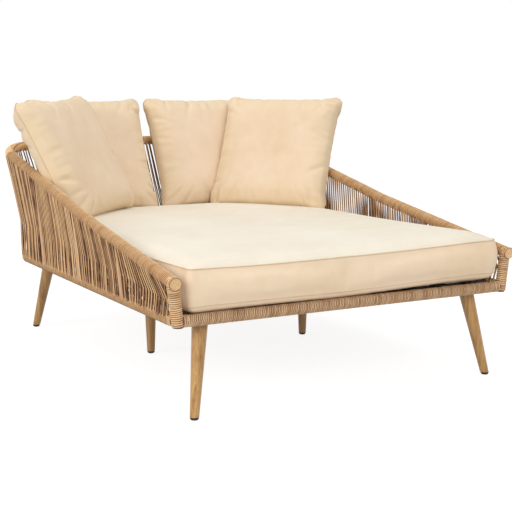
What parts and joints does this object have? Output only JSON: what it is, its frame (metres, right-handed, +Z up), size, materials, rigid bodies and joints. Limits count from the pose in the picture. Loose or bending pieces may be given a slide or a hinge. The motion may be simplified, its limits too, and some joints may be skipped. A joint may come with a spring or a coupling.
{
  "type": "patio daybed",
  "caption": "Wicker patio daybed with sloping wound side rails, see-through strand panels, splayed wooden legs, a deep seat cushion and loose back pillows",
  "frame": {"origin": "on the ground under the middle of the outline", "axes": "+X to the right when seen from the front, +Y towards the high back, +Z up"},
  "size_m": [1.3938, 1.7549, 0.921],
  "materials": {
    "tube": "brown powder coat over bent aluminium tube, hidden under the winding",
    "rib": "smooth tan powder coat",
    "deck_tube": "matt powder coat",
    "slat": "matt powder coat",
    "steel": "zinc plated",
    "leg_wood": "oiled light hardwood, fine grain",
    "foot_cap": "matt black",
    "wound_wicker": "round synthetic strands wound side by side, mixed tans",
    "strand_wicker": "upright round synthetic strands in two layers, mixed tans",
    "seat_fabric": "cream woven outdoor fabric, piped seams",
    "pillow_fabric": "sand woven outdoor fabric"
  },
  "bodies": {
    "frame": {"ring_front_tube": "tube", "ring_left_tube": "tube", "ring_right_tube": "tube", "ring_back_tube": "tube", "post_left": "tube", "post_right": "tube", "top_left_tube": "tube", "top_right_tube": "tube", "top_back_tube": "tube", "mid_left_tube": "tube", "mid_right_tube": "tube", "mid_back_tube": "tube", "ribs_left": "rib", "ribs_right": "rib", "ribs_back": "rib", "cross_front": "deck_tube", "cross_middle": "deck_tube", "cross_back": "deck_tube", "deck_slats": "slat", "leg_plates": "steel", "leg_screws": "steel", "leg_front_left": "leg_wood", "leg_front_right": "leg_wood", "leg_middle_left": "leg_wood", "leg_middle_right": "leg_wood", "leg_back_left": "leg_wood", "leg_back_right": "leg_wood", "foot_front_left": "foot_cap", "foot_front_right": "foot_cap", "foot_middle_left": "foot_cap", "foot_middle_right": "foot_cap", "foot_back_left": "foot_cap", "foot_back_right": "foot_cap", "wind_ring_front": "wound_wicker", "wind_ring_left": "wound_wicker", "wind_ring_right": "wound_wicker", "wind_ring_back": "wound_wicker", "wind_post_left": "wound_wicker", "wind_post_right": "wound_wicker", "wind_top_left": "wound_wicker", "wind_top_right": "wound_wicker", "wind_top_back": "wound_wicker", "end_disc_left": "wound_wicker", "end_disc_right": "wound_wicker", "weave_left_outer": "strand_wicker", "weave_left_inner": "strand_wicker", "weave_right_outer": "strand_wicker", "weave_right_inner": "strand_wicker", "weave_back_outer": "strand_wicker", "weave_back_inner": "strand_wicker"},
    "seat": {"seat_cushion": "seat_fabric"},
    "pillow_front_left_body": {"pillow_front_left": "pillow_fabric"},
    "pillow_back_left_body": {"pillow_back_left": "pillow_fabric"},
    "pillow_back_right_body": {"pillow_back_right": "pillow_fabric"},
    "pillow_front_right_body": {"pillow_front_right": "pillow_fabric"}
  },
  "joints": [
    {"name": "lift_seat_cushion", "type": "slide", "parent": "frame", "child": "seat", "axis": [0, 0, 1], "range_m": [0, 0.2]},
    {"name": "lift_pillow_front_left", "type": "slide", "parent": "seat", "child": "pillow_front_left_body", "axis": [0, 0, 1], "range_m": [0, 0.2]},
    {"name": "lift_pillow_front_right", "type": "slide", "parent": "seat", "child": "pillow_front_right_body", "axis": [0, 0, 1], "range_m": [0, 0.2]},
    {"name": "lift_pillow_back_left", "type": "slide", "parent": "seat", "child": "pillow_back_left_body", "axis": [0, 0.4226, 0.9063], "range_m": [0, 0.2]},
    {"name": "lift_pillow_back_right", "type": "slide", "parent": "seat", "child": "pillow_back_right_body", "axis": [0, 0.4226, 0.9063], "range_m": [0, 0.2]}
  ]
}
